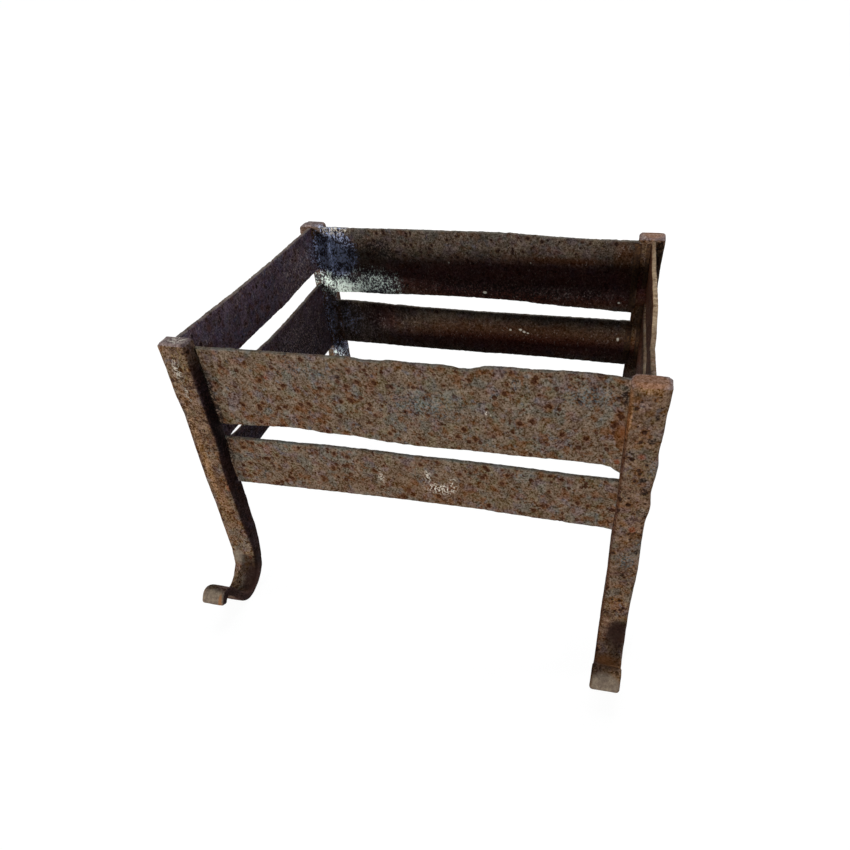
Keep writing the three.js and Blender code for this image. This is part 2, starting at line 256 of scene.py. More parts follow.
# Soft stains, some of them partly painted shade or light: middle and reach along X, Y and Z in mm,
# and strength
stains = {
    "dust": [
        (-152, 137, 158, 44, 10, 34, 0.9), (-184, 139, 165, 12, 12, 60, 0.8),
        (-196, 50, 160, 10, 110, 60, 0.4), (-196, 90, 245, 10, 80, 34, 0.4),
        (110, 137, 214, 80, 8, 14, 0.2)],
    "powder": [
        (-171, 140, 247, 36, 14, 40, 1.7), (-190, 126, 252, 10, 20, 26, 0.35),
        (-187, 137, 170, 14, 12, 56, 0.45), (-186, 142, 118, 16, 16, 24, 0.8),
        (-164, 137, 162, 26, 10, 30, 0.35)],
    "frost": [
        (-170, 139, 281, 26, 8, 6, 1.3), (-186, 142, 240, 7, 12, 30, 0.7),
        (-188, 142, 115, 16, 16, 16, 0.15)],
    # Chalk: a pale lime deposit laid where light through the gap of the left rails falls, so
    # partly a painted pool of light
    "chalk_and_painted_light": [
        (-160, 137, 206, 40, 12, 18, 1.8), (-126, 137, 212, 46, 10, 28, 0.75),
        (-184, 137, 214, 14, 14, 16, 1.4), (-199, 130, 216, 10, 14, 12, 1),
        (-188, 142, 112, 14, 16, 14, 0.55)],
    # Plum: painted shade, a dark red tint on the back rails where the front rails' shadow falls
    "painted_shade_plum": [
        (60, 137, 224, 280, 8, 34, 1.2), (60, 137, 144, 280, 8, 20, 0.8),
        (-120, 137, 170, 40, 8, 40, 0.6)],
    "orange": [
        (-181.6, -215, 36, 2.4, 8, 15, 1.4), (184, -187, 14, 18, 14, 12, 0.6),
        (176, -141, 232, 5, 6, 10, 0.7), (174.6, -141, 204, 4, 8, 3, 1)],
    # Grime: painted shade in the hollow bends of the front feet
    "painted_concave_shade": [
        (194, -163, 18, 18, 17, 16, 1.3), (-180, -168, 17, 13, 22, 23, 1.5),
        (-189, -199, 16, 22, 13, 16, 1.6)],
    "fleck": [
        (11, 137, 209.5, 3.4, 8, 2.4, 1), (53, 137, 164, 2.8, 8, 2, 1),
        (57.5, 137, 161.5, 2.6, 8, 2, 1), (62, 137, 160, 2.2, 8, 1.8, 0.9),
        (41, 137, 163, 3, 8, 2.8, 0.6), (167, 137, 160, 2, 8, 3.8, 0.9),
        (164, 137, 206, 2.6, 8, 2, 0.8), (190.2, 137, 252, 1.5, 5, 9, 0.9),
        (191.6, 137, 240, 1.4, 5, 8, 0.7), (-30, 137, 244, 2.2, 8, 2, 0.7),
        (64, 137, 248, 2, 8, 2, 0.6), (-164, 137, 279, 2.6, 8, 2.4, 1),
        (-152, 137, 277, 2.2, 8, 2, 0.9), (-136, 137, 280, 2, 8, 1.8, 0.8)],
    "chip": [
        (27, -141, 151, 20, 8, 9, 0.75), (-27, -141, 158, 6, 8, 14, 0.42),
        (16, -141, 163, 5, 8, 12, 0.6), (39, -141, 157, 6, 8, 14, 0.6),
        (72, -141, 238, 3.5, 8, 3, 0.9), (-192, -152, 260, 8, 8, 20, 0.42),
        (-190, -150, 236, 5, 8, 18, 0.4), (-189, -144, 284, 10, 9, 5, 0.9),
        (-199, -165, 30, 10, 12, 10, 0.4), (-166, 137, 276, 26, 12, 8, 0.8)],
    "ochre": [
        (171, -141, 232, 12, 8, 60, 1), (173, -141, 150, 10, 8, 40, 1),
        (110, -141, 207, 80, 8, 26, 0.6), (-110, -141, 208, 70, 8, 20, 0.6),
        (50, -141, 140, 120, 8, 18, 0.7), (-140, -141, 240, 30, 8, 40, 0.3),
        (-128, 137, 262, 22, 8, 10, 1), (150, 137, 150, 40, 8, 12, 0.6),
        (191, 40, 236, 10, 110, 20, 0.9), (191, 110, 160, 10, 50, 30, 0.8),
        (195, -152, 50, 20, 10, 24, 0.8), (-196, -150, 60, 12, 12, 60, 0.7),
        (-196, -150, 236, 10, 10, 24, 0.5), (191, -145, 284, 16, 12, 14, 0.9),
        (-185, -158, 27, 5, 10, 12, 1), (179, -150, 240, 4, 7, 50, 0.7),
        (-180, -213, 38, 4, 8, 12, 1)],
    "teal": [
        (192, -152, 104, 14, 10, 16, 0.7), (200, -152, 126, 7, 8, 7, 0.8),
        (203, -152, 208, 8, 8, 14, 0.7), (94, -141, 269, 5, 8, 4, 1),
        (150, -141, 262, 34, 8, 18, 0.6), (20, -141, 240, 60, 8, 26, 0.5),
        (-80, -141, 262, 60, 8, 14, 0.4)],
    # Tan: tan rust, and a painted highlight down the front right leg's left edge and the front
    # left leg's front
    "tan_and_painted_highlight": [
        (179, -150, 256, 3.5, 7, 30, 1.2), (191, -147, 287, 18, 12, 17, 1.3),
        (192, -206, 20, 20, 18, 15, 1), (192, -222, 34, 18, 12, 14, 0.6),
        (-196, -152, 170, 6, 10, 120, 0.6), (-192, -152, 96, 12, 10, 70, 0.25),
        (192, 20, 279, 5, 160, 5, 1.2), (192, 145, 284, 18, 12, 8, 0.85)],
    "red": [
        (192, -152, 219, 7, 8, 6, 0.9), (186, -152, 236, 16, 8, 26, 0.45),
        (193, -152, 142, 6, 8, 6, 1.1), (-183, -152, 128, 4, 6, 14, 0.8),
        (-182, -153, 34, 4, 7, 8, 1), (-118, -141, 252, 5, 8, 4, 0.9),
        (-190, 70, 165, 10, 26, 40, 0.7), (174.6, -141, 204, 4, 8, 3.5, 1.2)],
    # Soot: dark stains, and painted shade inside the basket, on the sides of the legs and in the
    # joints of rails and legs
    "soot_and_painted_shade": [
        (180, 137, 250, 12, 12, 60, 0.35), (-190, 30, 150, 14, 160, 70, 0.9),
        (-175, -146, 205, 5.5, 14, 78, 1.3), (175.5, -141, 266, 3, 6, 16, 1),
        (197.7, -152, 235, 3.4, 5, 3.6, 2), (195.6, -152, 197, 3.6, 5, 3, 1.6),
        (198, -152, 185, 3.4, 5, 4, 1.6), (200, -152, 116, 3.4, 5, 3.6, 1.6),
        (199, -152, 256, 2.6, 5, 3, 0.9), (202, 138, 246, 12, 8, 36, 3),
        (40, 137, 212, 170, 8, 20, 0.8), (-100, 137, 168, 60, 8, 20, 0.35),
        (-112, 137, 256, 30, 8, 16, 0.9), (-192, -148, 260, 9, 8, 26, 0.6),
        (-197, -150, 205, 8, 9, 40, 0.5)],
    "rust": [
        (192, -206, 20, 22, 20, 18, 2.2), (190, -190, 14, 20, 13, 12, 1.3),
        (100, 137, 252, 90, 8, 7, 0.9), (165, 137, 256, 16, 8, 26, 1),
        (175.5, -141, 229, 6, 8, 13, 2), (60, 137, 158, 260, 8, 26, 0.9),
        (60, 137, 205, 280, 8, 11, 0.8), (0, -141, 150, 200, 8, 36, 0.35),
        (-190, -152, 110, 14, 8, 60, 0.5), (179, 140, 220, 8, 8, 90, 1)],
    "worn": [
        (-189, -214, 41, 17, 11, 16, 1), (184, -228, 34, 18, 12, 18, 1),
        (-195, -154, 34, 9, 12, 13, 0.9), (-190, 214, 36, 16, 14, 16, 0.8),
        (190, 228, 34, 16, 14, 16, 0.8), (193, 10, 279, 6, 140, 3.5, 1),
        (193, 0, 208, 6, 137, 3, 0.4), (-196, 0, 279, 6, 140, 3, 0.5)],
}

# How far outside a node's box a stain still counts
stain_slack = 5 * mm

# Deposits that lie only on the sides that look into the basket
inside_only = ("dust", "powder", "frost", "chalk_and_painted_light")


def near_stains(node):
    """The stains that can touch a node."""
    low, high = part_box(node)
    near = {}
    for kind, spots in stains.items():
        near[kind] = []
        for *spot, strength in spots:
            middle, reach = Vector(spot[:3]) * mm, Vector(spot[3:]) * mm
            if all(low[i] - stain_slack < middle[i] + reach[i]
                   and middle[i] - reach[i] < high[i] + stain_slack for i in range(3)):
                near[kind].append((middle, Vector([1 / r for r in reach]), strength))
    return near


def inner_side(point, normal):
    """1 on the sides of a piece that look toward the middle of the basket."""
    return smooth(-0.25, 0.3, normal.dot(Vector((-point.x, -point.y, 0)).normalized()))


def stain_strength(kind, spots, point, normal, inside):
    """How strong the strongest of some stains is at a point."""
    best = 0.0
    for middle, shrink, strength in spots:
        far = ((point - middle) * shrink).length
        if far < 1:
            best = max(best, strength * (1 - far))
    if best and (inside or kind in inside_only):
        best *= inner_side(point, normal)
    return best


def inward(point, normal):
    """1 where a rail's surface looks into the basket, 0 where it looks out."""
    toward = Vector((-point.x, -point.y, 0))
    if abs(point.x) > half_width:
        toward.y = 0
    else:
        toward.x = 0
    return smooth(0.1, 0.8, normal.dot(toward.normalized()))


def add_object(name, data):
    """Puts a new object into the scene."""
    thing = bpy.data.objects.new(name, data)
    bpy.context.scene.collection.objects.link(thing)
    return thing


def add_shape(name, bm, material):
    """Puts a shape into the scene as an object of one material."""
    mesh = bpy.data.meshes.new(name)
    bm.to_mesh(mesh)
    bm.free()
    mesh.materials.append(material)
    return add_object(name, mesh)


# The inner mark also sets where painted shade darkens the sides that look into the basket
mark_kinds = ("pit", "halo", "edge", "inner", "head")


def finish_piece(name, bm, moved, node, material, rows=(), inside=False, before=None):
    """Makes a piece of a shape's moved points, with its marks and stains."""
    marks = dict(zip(mark_kinds, zip(*rows)))
    for kind, spots in near_stains(node).items():
        marks[kind] = [stain_strength(kind, spots, point, v.normal, inside)
                       for v, point in zip(bm.verts, before or moved)]
    for v, point in zip(bm.verts, moved):
        v.co = point
    piece = add_shape(name, bm, material)
    piece.data.shade_smooth()
    for kind, values in marks.items():
        piece.data.attributes.new(kind, "FLOAT", "POINT").data.foreach_set("value", values)
    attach(piece, "root")
    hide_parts(node)


rail_cell = 1.4 * mm
rail_edge = 0.8 * mm
rail_bow = 0.7 * mm
bow_pitch = 11
bow_calm = 0.12
bottom_hang = 0.6 * mm
edge_wear_reach = 7 * mm

# How far from its ends a rail is stretched, to bite into the legs
end_reach = 6 * mm
end_bite = 3 * mm

# The ragged grain of a rail's edges: waves in a metre, roughness, and its size
rag_pitch = 160
rag_fractal = (0.8, 2.2, 4)
rag_size = 0.45 * mm
rag_top_row, rag_bottom_row = 1, 9

# The relief of a rail's faces: waves in a metre and height of each
side_stretch = 3
swell_pitch, swell_height = 60, 0.16 * mm
grit_pitch, grit_height = 240, 0.10 * mm

# Lumps of weld metal on the front of the front rails' right ends
lump_reach = 14 * mm
lump_height = 3.2 * mm
lump_level = 0.35
lump_pitch = 130
crumb_pitch = 290

# The split in the left lower rail: its ends along the rail, its height and its slope
split_rail = "rail_left_lower"
split_start = -114 * mm
split_end = -74 * mm
split_up = 34.5 * mm
split_height = 6.5 * mm
split_tip = 0.4 * mm
split_drop = 3 * mm
split_calm = 12 * mm
split_past = 0.3


def cut_split(bm, size, out):
    """Opens a slot one cell high through a rail, and gives its top and bottom."""
    gone = []
    for face in bm.faces:
        middle = face.calc_center_median()
        up = middle.z + size.z / 2
        in_row = abs(face.normal[out]) > 0.9 and abs(up - split_up) < rail_cell / 2
        if in_row and split_start < middle[1 - out] < split_end:
            gone.append(face)
    bmesh.ops.delete(bm, geom=gone, context="FACES")
    rims = [edge for edge in bm.edges if edge.is_boundary]
    bmesh.ops.bridge_loops(bm, edges=rims)
    levels = [v.co.z + size.z / 2 for e in rims for v in e.verts]
    return max(levels), min(levels)


def opened(place, up, slot_top, slot_bottom):
    """How far the split's lips move a point up or down."""
    middle, half_cell = (slot_top + slot_bottom) / 2, (slot_top - slot_bottom) / 2
    share = (place - split_start) / (split_end - split_start)
    calm = 1 - smooth(0, split_calm, abs(up - middle) - half_cell)
    slope = split_drop * (0.5 - min(max(share, -split_past), 1 + split_past))
    lips = 0.0
    if 0 <= share <= 1:
        half = (split_tip + (split_height - split_tip) * math.sin(math.pi * share) ** 0.7) / 2
        lips = math.copysign(half - half_cell, up - middle)
    return calm * (slope + lips)


def ragged(place, seed, row):
    """How far the grain of an edge stands out at a place."""
    return noise.fractal(Vector((place * rag_pitch, seed, row)), *rag_fractal) * rag_size


def edge_rise(node, seed, place, share):
    """How far a rail's wandering edges lift a point between them."""
    tops, bottoms = rail_edges[node]
    top = (read_off(tops, place / mm) * mm
           + ragged(place, seed, rag_top_row) * smooth(0.8, 1, share))
    bottom = (read_off(bottoms, place / mm) * mm - bottom_hang
              + ragged(place, seed, rag_bottom_row) * smooth(0.2, 0, share))
    return share * top + (1 - share) * bottom


def weld_lumps(spot, place, length):
    """How far the lumps stand out near a rail's right end."""
    lump = lump_level + noise.noise(spot * lump_pitch) + 0.5 * noise.noise(spot * crumb_pitch)
    return smooth(length / 2 - lump_reach, length / 2, place) * max(lump, 0) * lump_height


def rail(node, slot, material, seed):
    """A flat rail with wandering, ragged edges, a slight bow and blistered faces."""
    low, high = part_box(node)
    size, middle = high - low, (high + low) / 2
    along = 0 if size.x > size.y else 1
    out = 1 - along
    cells = [max(round(side / rail_cell), 2) for side in size]
    cells[out] = 2
    bm = bar(size, rail_edge, cells)
    slot_ends = cut_split(bm, size, out) if node == split_rail else None
    flat = ((-size[along] / 2, 0.0), (size[along] / 2, size.z))
    blisters = Blisters(random.Random(seed), [flat, flat], rail_blisters)
    bows = rail_bows.get(node, no_table)
    shift = Vector((seed, 0, 0))
    bm.normal_update()
    moved, rows = [], []
    for v in bm.verts:
        place, up = v.co[along], v.co.z + size.z / 2
        pit, halo = blisters.at(1 if v.co[out] > 0 else 0, place, up)
        rise = edge_rise(node, seed, place, up / size.z)
        if slot_ends:
            rise += opened(place, up, *slot_ends)
        spot = Vector((place, v.co[out] * side_stretch, up)) + shift
        bow = (noise.noise(spot * bow_pitch) * rail_bow
               * smooth(0, bow_calm, 0.5 - abs(place) / size[along]))
        relief = (noise.noise(spot * swell_pitch) * swell_height
                  + noise.noise(spot * grit_pitch) * grit_height
                  - sunken(pit) + halo_height * smooth(0, 0.6, halo))
        if node.startswith("rail_front") and v.normal[out] < -0.5:
            relief += weld_lumps(spot, place, size[along])
        point = v.co + middle + v.normal * relief
        point.z += rise
        if along == 0:
            bite = smooth(size.x / 2 - end_reach, size.x / 2, abs(place)) * end_bite
            point.x += math.copysign(bite, place)
        point[out] += bow + math.copysign(read_off(bows, place / mm) * mm, middle[out])
        moved.append(point)
        edge = 1 - smooth(0, edge_wear_reach, min(up, size.z - up))
        rows.append((pit, halo, edge, inward(point, v.normal)))
    finish_piece(node + "_bar", bm, moved, node, material, rows,
                 inside=node.startswith("rail_back"))


leg_cell = 1.3 * mm
leg_edge = 2.6 * mm
head_edge = 3 * mm
leg_edge_reach = 4 * mm
line_cuts = 24

# The relief of a leg: waves in a metre and height of each
leg_swell_pitch, leg_swell = 38, 0.45 * mm
leg_dent_pitch, leg_dent = 130, 0.22 * mm
worn_edge_pitch, worn_edge = 70, 0.5 * mm
leg_pit_share = 0.7

# Where along its reach a foot takes on the width of its toe
toe_start, toe_end = 0.4, 0.9

# How much a front leg's back counts as its inner side, which takes painted shade, and how much its
# head stays out of that
back_share = 0.35
inner_full = 0.55
head_share = 0.4


def leg_line(sizes):
    """Middle line of a leg from head to toe: points forward of its back face and up."""
    half, top = leg_thick / 2, stand_height - sizes.drop
    knots = [Vector((half, top)), Vector((half, (top + bend_height) / 2)),
             Vector((half, bend_height))]
    knots += [Vector((forward * sizes.reach, up * sizes.rise)) for forward, up in foot_shares]
    padded = [knots[0], *knots, knots[-1]]
    points = []
    for a, b, c, d in zip(padded, padded[1:], padded[2:], padded[3:]):
        flat = [p.to_3d() for p in (b, b + (c - a) / 6, c - (d - b) / 6, c)]
        points += [p.to_2d() for p in interpolate_bezier(*flat, line_cuts)[:-1]]
    points.append(knots[-1])
    return points


def measured(points):
    """Length of a line, and the share of the way and the direction at its points."""
    far, rows = 0.0, []
    for i, point in enumerate(points):
        if i:
            far += (point - points[i - 1]).length
        ahead = points[min(i + 1, len(points) - 1)] - points[max(i - 1, 0)]
        rows.append([far, point, ahead.normalized()])
    return far, [(row[0] / far, row[1], row[2]) for row in rows]


def along_line(rows, share):
    """Place and direction at a share of the way along a line."""
    after = min(bisect(rows, share, key=lambda row: row[0]), len(rows) - 1)
    a, b = rows[after - 1], rows[after]
    mix = (share - a[0]) / (b[0] - a[0])
    return a[1].lerp(b[1], mix), a[2].lerp(b[2], mix).normalized()


def rounded_corner(u, v, radius):
    """Distances from two faces, moved so that the edge between them is round."""
    if u >= radius or v >= radius:
        return u, v
    corner = Vector((radius - u, radius - v))
    reach = max(corner)
    corner = corner.normalized() * reach
    return radius - corner.x, radius - corner.y


def bend(bm, corner, length, rows, blisters):
    """Bends a bar's points along a leg's line: across, forward and up, then marks, of each."""
    bent, skin = [], []
    for v in bm.verts:
        share = (length / 2 - v.co.z) / length
        middle, ahead = along_line(rows, min(max(share, 0), 1))
        through = v.co.y / (leg_thick / 2)
        thick = read_off(thickness_shares, share, eased=False) * leg_thick / 2
        spot = middle + Vector((-ahead.y, ahead.x)) * (thick * through)
        spot.x = max(spot.x, 0)
        bent.append((v.co.x + leg_width / 2, spot.x, spot.y))
        if abs(v.normal.y) > abs(v.normal.x):
            pit, halo = blisters.at(0 if v.normal.y > 0 else 1, v.co.x, share * length)
        else:
            pit, halo = blisters.at(2 if v.normal.x > 0 else 3, v.co.y, share * length)
        ways = sorted((leg_width / 2 - abs(v.co.x), leg_thick / 2 - abs(v.co.y),
                       length / 2 - abs(v.co.z)))
        skin.append((pit, halo, 1 - smooth(0, leg_edge_reach, ways[1]),
                     1 - smooth(0, legs[corner].fade, share * length)))
    return bent, skin


def corner_sides(corner):
    """Which way a leg's corner lies along X and along Y."""
    return 1 if corner.endswith("right") else -1, 1 if corner.startswith("back") else -1


def forge(bm, corner, bent):
    """Sets a bent leg in its corner, with its waves, its taper and its head."""
    sizes = legs[corner]
    side_x, side_y = corner_sides(corner)
    top = stand_height - sizes.drop
    lowest = min(up for _, _, up in bent) + heel_wear
    outer, inner = leg_sides[corner]
    taper = leg_tapers.get(corner, no_table)
    head_thick = leg_thick * thickness_shares[0][1]
    for v, (across, forward, up) in zip(bm.verts, bent):
        up -= lowest * min(max(1 - up / bend_height, 0), 1)
        up = max(up, 0)
        head = smooth(top - head_height, top, up)
        width = (foot_width + (leg_width - foot_width) * up / stand_height
                 + head * sizes.spread)
        toe = smooth(toe_start, toe_end, forward / sizes.reach)
        width += (sizes.toe - foot_width) * toe
        across /= leg_width
        front = smooth(0, 1, v.co.y / leg_thick + 0.5)
        outward = (across * (width + read_off(outer, up / mm) * mm)
                   + (1 - across) * (read_off(taper, up / mm) * front
                                     - read_off(inner, up / mm)) * mm)
        edge = top - up
        left, edge = rounded_corner(width - outward, edge, sizes.round)
        outward = width - left
        outward, edge = rounded_corner(outward, edge, head_edge)
        left, edge = rounded_corner(head_thick - forward, edge, head_edge)
        forward, edge = rounded_corner(head_thick - left, edge, head_edge)
        up = top - edge
        drift = max(forward - leg_thick, 0) / (sizes.reach - leg_thick)
        outward -= drift * sizes.drift
        v.co = (side_x * (half_width + outward), side_y * (half_depth + forward), up)
    if side_x != side_y:
        bmesh.ops.reverse_faces(bm, faces=bm.faces[:])
    bm.normal_update()


def roughen(bm, corner, seed, skin):
    """Swells, dents and pits a leg's faces: the points and their marks."""
    side_x, side_y = corner_sides(corner)
    top = stand_height - legs[corner].drop
    shift = Vector((seed, 0, 0))
    moved, rows = [], []
    for v, (pit, halo, edge, head) in zip(bm.verts, skin):
        spot = v.co + shift
        relief = (noise.noise(spot * leg_swell_pitch) * leg_swell
                  + noise.noise(spot * leg_dent_pitch) * leg_dent
                  - edge * edge * worn_edge * (0.5 + noise.noise(spot * worn_edge_pitch))
                  - sunken(pit) * leg_pit_share)
        point = v.co + v.normal * relief
        point.z = min(max(point.z, 0), stand_height)
        moved.append(point)
        # The inner mark: where painted shade goes on a leg, less of it on the head
        hidden = max(v.normal.y, 0) * back_share if side_y < 0 else 0
        inner = (smooth(0, inner_full, hidden - side_x * v.normal.x)
                 * (1 - head_share * smooth(top - head_height, top, point.z)))
        rows.append((pit, halo, edge, inner, head))
    return moved, rows


def leg(corner, material, seed):
    """A forged leg: a straight bar, bent along its middle line and roughened."""
    length, line = measured(leg_line(legs[corner]))
    size = Vector((leg_width, leg_thick, length))
    bm = bar(size, leg_edge, [round(side / leg_cell) for side in size], edge_cuts=3)
    broad = ((-leg_width / 2, 0.0), (leg_width / 2, length))
    narrow = ((-leg_thick / 2, 0.0), (leg_thick / 2, length))
    blisters = Blisters(random.Random(seed), [broad, broad, narrow, narrow], leg_blisters)
    bm.normal_update()
    bent, skin = bend(bm, corner, length, line, blisters)
    forge(bm, corner, bent)
    moved, rows = roughen(bm, corner, seed, skin)
    node = "leg_" + corner
    finish_piece(node + "_bar", bm, moved, node, material, rows)


weld_cell = 0.8 * mm
weld_edge = 0.7 * mm
weld_pitch = 4.2 * mm
weld_lump = 0.55 * mm
weld_lump_pitch = 170
fillet_bulge = 0.8
bead_foot = 0.25


def weld(node, material, seed):
    """A lumpy run of weld metal: a low bead on a flush seam, or a fillet in a corner."""
    low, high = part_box(node)
    size, middle = high - low, (high + low) / 2
    is_fillet = abs(size.x - size.y) < 0.5 * mm
    bm = bar(size, weld_edge, [max(round(side / weld_cell), 3) for side in size])
    bm.normal_update()
    out = Vector((-math.copysign(1, middle.x), -math.copysign(1, middle.y), 0))
    shift = Vector((seed, 0, 0))
    points, moved = [], []
    for v in bm.verts:
        u = 0.5 + out.x * v.co.x / size.x
        w = 0.5 + out.y * v.co.y / size.y
        if is_fillet:
            least, most = sorted((u, w))
            shrink = 1 / (1 + fillet_bulge * least / max(most, 0.01))
            u, w = u * shrink, w * shrink
            proud = max(u, w)
        else:
            arch = math.sqrt(max(1 - (2 * u - 1) ** 2, 0))
            w = w * (bead_foot + (1 - bead_foot) * arch)
            proud = w
        spot = v.co + middle + shift
        ripple = abs(math.sin(math.pi * (v.co.z / weld_pitch + 0.8 * (u - 0.5) ** 2 + seed)))
        lump = ((noise.noise(spot * weld_lump_pitch) - 0.4 + 0.5 * (ripple - 1))
                * weld_lump * proud)
        point = middle + Vector((out.x * (u - 0.5) * size.x, out.y * (w - 0.5) * size.y, v.co.z))
        points.append(point)
        moved.append(point + v.normal * lump)
    finish_piece(node + "_run", bm, moved, node, material, before=points)


# Materials


def tone(code):
    """A colour written as six hex digits, as the shader wants it."""
    parts = [int(code[i:i + 2], 16) / 255 for i in (0, 2, 4)]
    return tuple(p / 12.92 if p <= 0.04045 else ((p + 0.055) / 1.055) ** 2.4
                 for p in parts) + (1.0,)


def put(tree, socket, value):
    """Links an output to a socket, or sets the socket to a plain value."""
    if isinstance(value, bpy.types.NodeSocket):
        tree.links.new(value, socket)
    else:
        socket.default_value = value


def step(tree, kind, inputs, output=0, **settings):
    """Adds a node to a tree, sets it up, and gives back one of its outputs."""
    node = tree.nodes.new("ShaderNode" + kind)
    for name, value in settings.items():
        setattr(node, name, value)
    for name, value in inputs.items():
        put(tree, node.inputs[name], value)
    return node.outputs[output]


# Distance between layers of noise, and how much of its grey a grained colour keeps
layer_gap = 3.7
grain_grey = 0.7


class Coat:
    """A material built step by step: a colour that further colours are laid over."""

    def __init__(self, name):
        self.material = bpy.data.materials.new(name)
        self.material.use_nodes = True
        self.tree = self.material.node_tree
        self.place = self.tree.nodes.new("ShaderNodeTexCoord").outputs["Object"]

    def noise(self, size, detail, roughness, layer=0, twist=0.0, rise=1):
        """A noise with lumps of a size in mm. A rise under 1 draws them out upright."""
        place = self.place
        if rise != 1:
            place = step(self.tree, "VectorMath", {0: place, 1: (1, 1, rise)},
                         operation="MULTIPLY")
        return step(self.tree, "TexNoise",
                    {"Vector": place, "W": layer * layer_gap, "Scale": 1 / (size * mm),
                     "Detail": detail, "Roughness": roughness, "Distortion": twist},
                    "Fac", noise_dimensions="4D")

    def mark(self, kind):
        """The value that each point of the shape has for a kind of mark."""
        return step(self.tree, "Attribute", {}, "Fac", attribute_name=kind)

    def math(self, how, a, b=0.0):
        return step(self.tree, "Math", {0: a, 1: b}, operation=how)

    def plus(self, a, b):
        return self.math("ADD", a, b)

    def minus(self, a, b):
        return self.math("SUBTRACT", a, b)

    def times(self, a, b):
        return self.math("MULTIPLY", a, b)

    def level(self, value, low, high, least, most, slope="LINEAR"):
        """A value stretched from one range to another, and kept inside it."""
        return step(self.tree, "MapRange",
                    {"Value": value, "From Min": low, "From Max": high, "To Min": least,
                     "To Max": most}, "Result", interpolation_type=slope)

    def mask(self, value, low, high, most=1.0):
        """0 up to low and most from high on, with an eased slope between them."""
        return self.level(value, low, high, 0.0, most, "SMOOTHSTEP")

    def scale(self, colour, share):
        return step(self.tree, "VectorMath", {0: colour, "Scale": share}, operation="SCALE")

    def grained(self, colour, share):
        """A colour made lighter and darker with little change of its warmth."""
        grey = self.times(step(self.tree, "RGBToBW", {0: colour}), grain_grey)
        return step(self.tree, "VectorMath",
                    {0: colour, 1: share, 2: self.times(self.minus(share, 1.0), grey)},
                    operation="MULTIPLY_ADD")

    def ramp(self, value, spread, codes):
        """Three colours along a value: at a half, and a spread to each side."""
        node = self.tree.nodes.new("ShaderNodeValToRGB")
        put(self.tree, node.inputs["Fac"], value)
        elements = node.color_ramp.elements
        elements.new(0.5)
        for side, element, code in zip((-1, 0, 1), elements, codes.split()):
            element.position = 0.5 + side * spread
            element.color = tone(code)
        return node.outputs["Color"]

    def mix(self, share, under, over, how="MIX"):
        """A share of one colour laid over another."""
        under, over = [tone(c) if isinstance(c, str) else c for c in (under, over)]
        return step(self.tree, "Mix", {"Factor": share, 6: under, 7: over}, 2,
                    data_type="RGBA", blend_type=how)

    def lay(self, share, tint):
        """Lays a share of a colour over what is there."""
        self.colour = self.mix(share, self.colour, tint)

    def tint(self, share, tint):
        """Multiplies a share of what is there by a colour."""
        self.lay(share, self.mix(1.0, self.colour, tint, "MULTIPLY"))

    def stain(self, kind, low, high, most, tint):
        """Lays a colour where the mark of a kind is strong."""
        self.lay(self.mask(self.mark(kind), low, high, most), tint)

    def bump(self, height, depth, strength):
        return step(self.tree, "Bump",
                    {"Strength": strength, "Distance": depth, "Height": height}, "Normal")

    def set(self, **values):
        """Sets the shader's sockets, and gives back the finished material."""
        shader = self.tree.nodes["Principled BSDF"]
        for name, value in values.items():
            put(self.tree, shader.inputs[name.replace("_", " ")], value)
        return self.material


def squiggles(coat, size, width, layer):
    """Thin winding lines, where a soft noise crosses its middle value."""
    off = coat.math("ABSOLUTE", coat.minus(coat.noise(size, 2, 0.5, layer), 0.5))
    return coat.mask(off, width, width * 0.3)


def stained(coat, kind, share, most):
    """Strength of a stain, broken up by a noise or another mask."""
    return coat.times(coat.mask(coat.mark(kind), 0.02, 0.55, most), share)


# Spread of a ground's colours over its noise
ground_spread = 0.16

# Soft patches of other hues in the rust: size in mm, where the noise starts, most, colour
hue_patches = [
    (14, 0.51, 0.34, "5a6460"), (11, 0.53, 0.36, "65555e"), (9, 0.57, 0.40, "6b4636"),
    (12, 0.54, 0.38, "625940"), (7, 0.61, 0.40, "555d69"),
]
patch_slope = 0.12

# The brown bloom: the slope of its mask, its most, and how much an ochre stain adds to it
bloom_slope = 0.14
bloom_most = 0.7
ochre_push = 0.14

# Masks: where each starts to show, where it is full, and its most
halo_mask = (0.12, 0.7, 0.62)
core_mask = (0.15, 0.35, 0.92)
red_mask = (0.3, 0.8, 0.7)
speck_mask = (0.63, 0.70, 0.5)
grain_swing = 0.44

# Looks of the stains and of painted shade and highlights: their masks and their colours
looks = {
    "rust": (0.02, 0.7, 0.8, "5c3a1f"), "tan_and_painted_highlight": (0.05, 0.6, 0.8, "8e6a48"),
    "rail_orange": (0.1, 0.8, 0.7, "6e3a1a"), "leg_orange": (0.1, 0.7, 0.7, "8a5a34"),
    "painted_concave_shade": (0.02, 0.8, 0.85, "402b25"), "fleck": (0.2, 0.45, 0.95, "d8d2c4"),
}
# A dark red painted shade on the back rails, multiplied over their colour
painted_shade_plum_mask = (0.02, 0.6, 0.9)
painted_shade_plum_tint = "eeaebc"
red_rust = "78402c"
teal_rust = "52666c"
# The dark colour of soot and of painted shade
soot_and_shade_black = "1a1210"


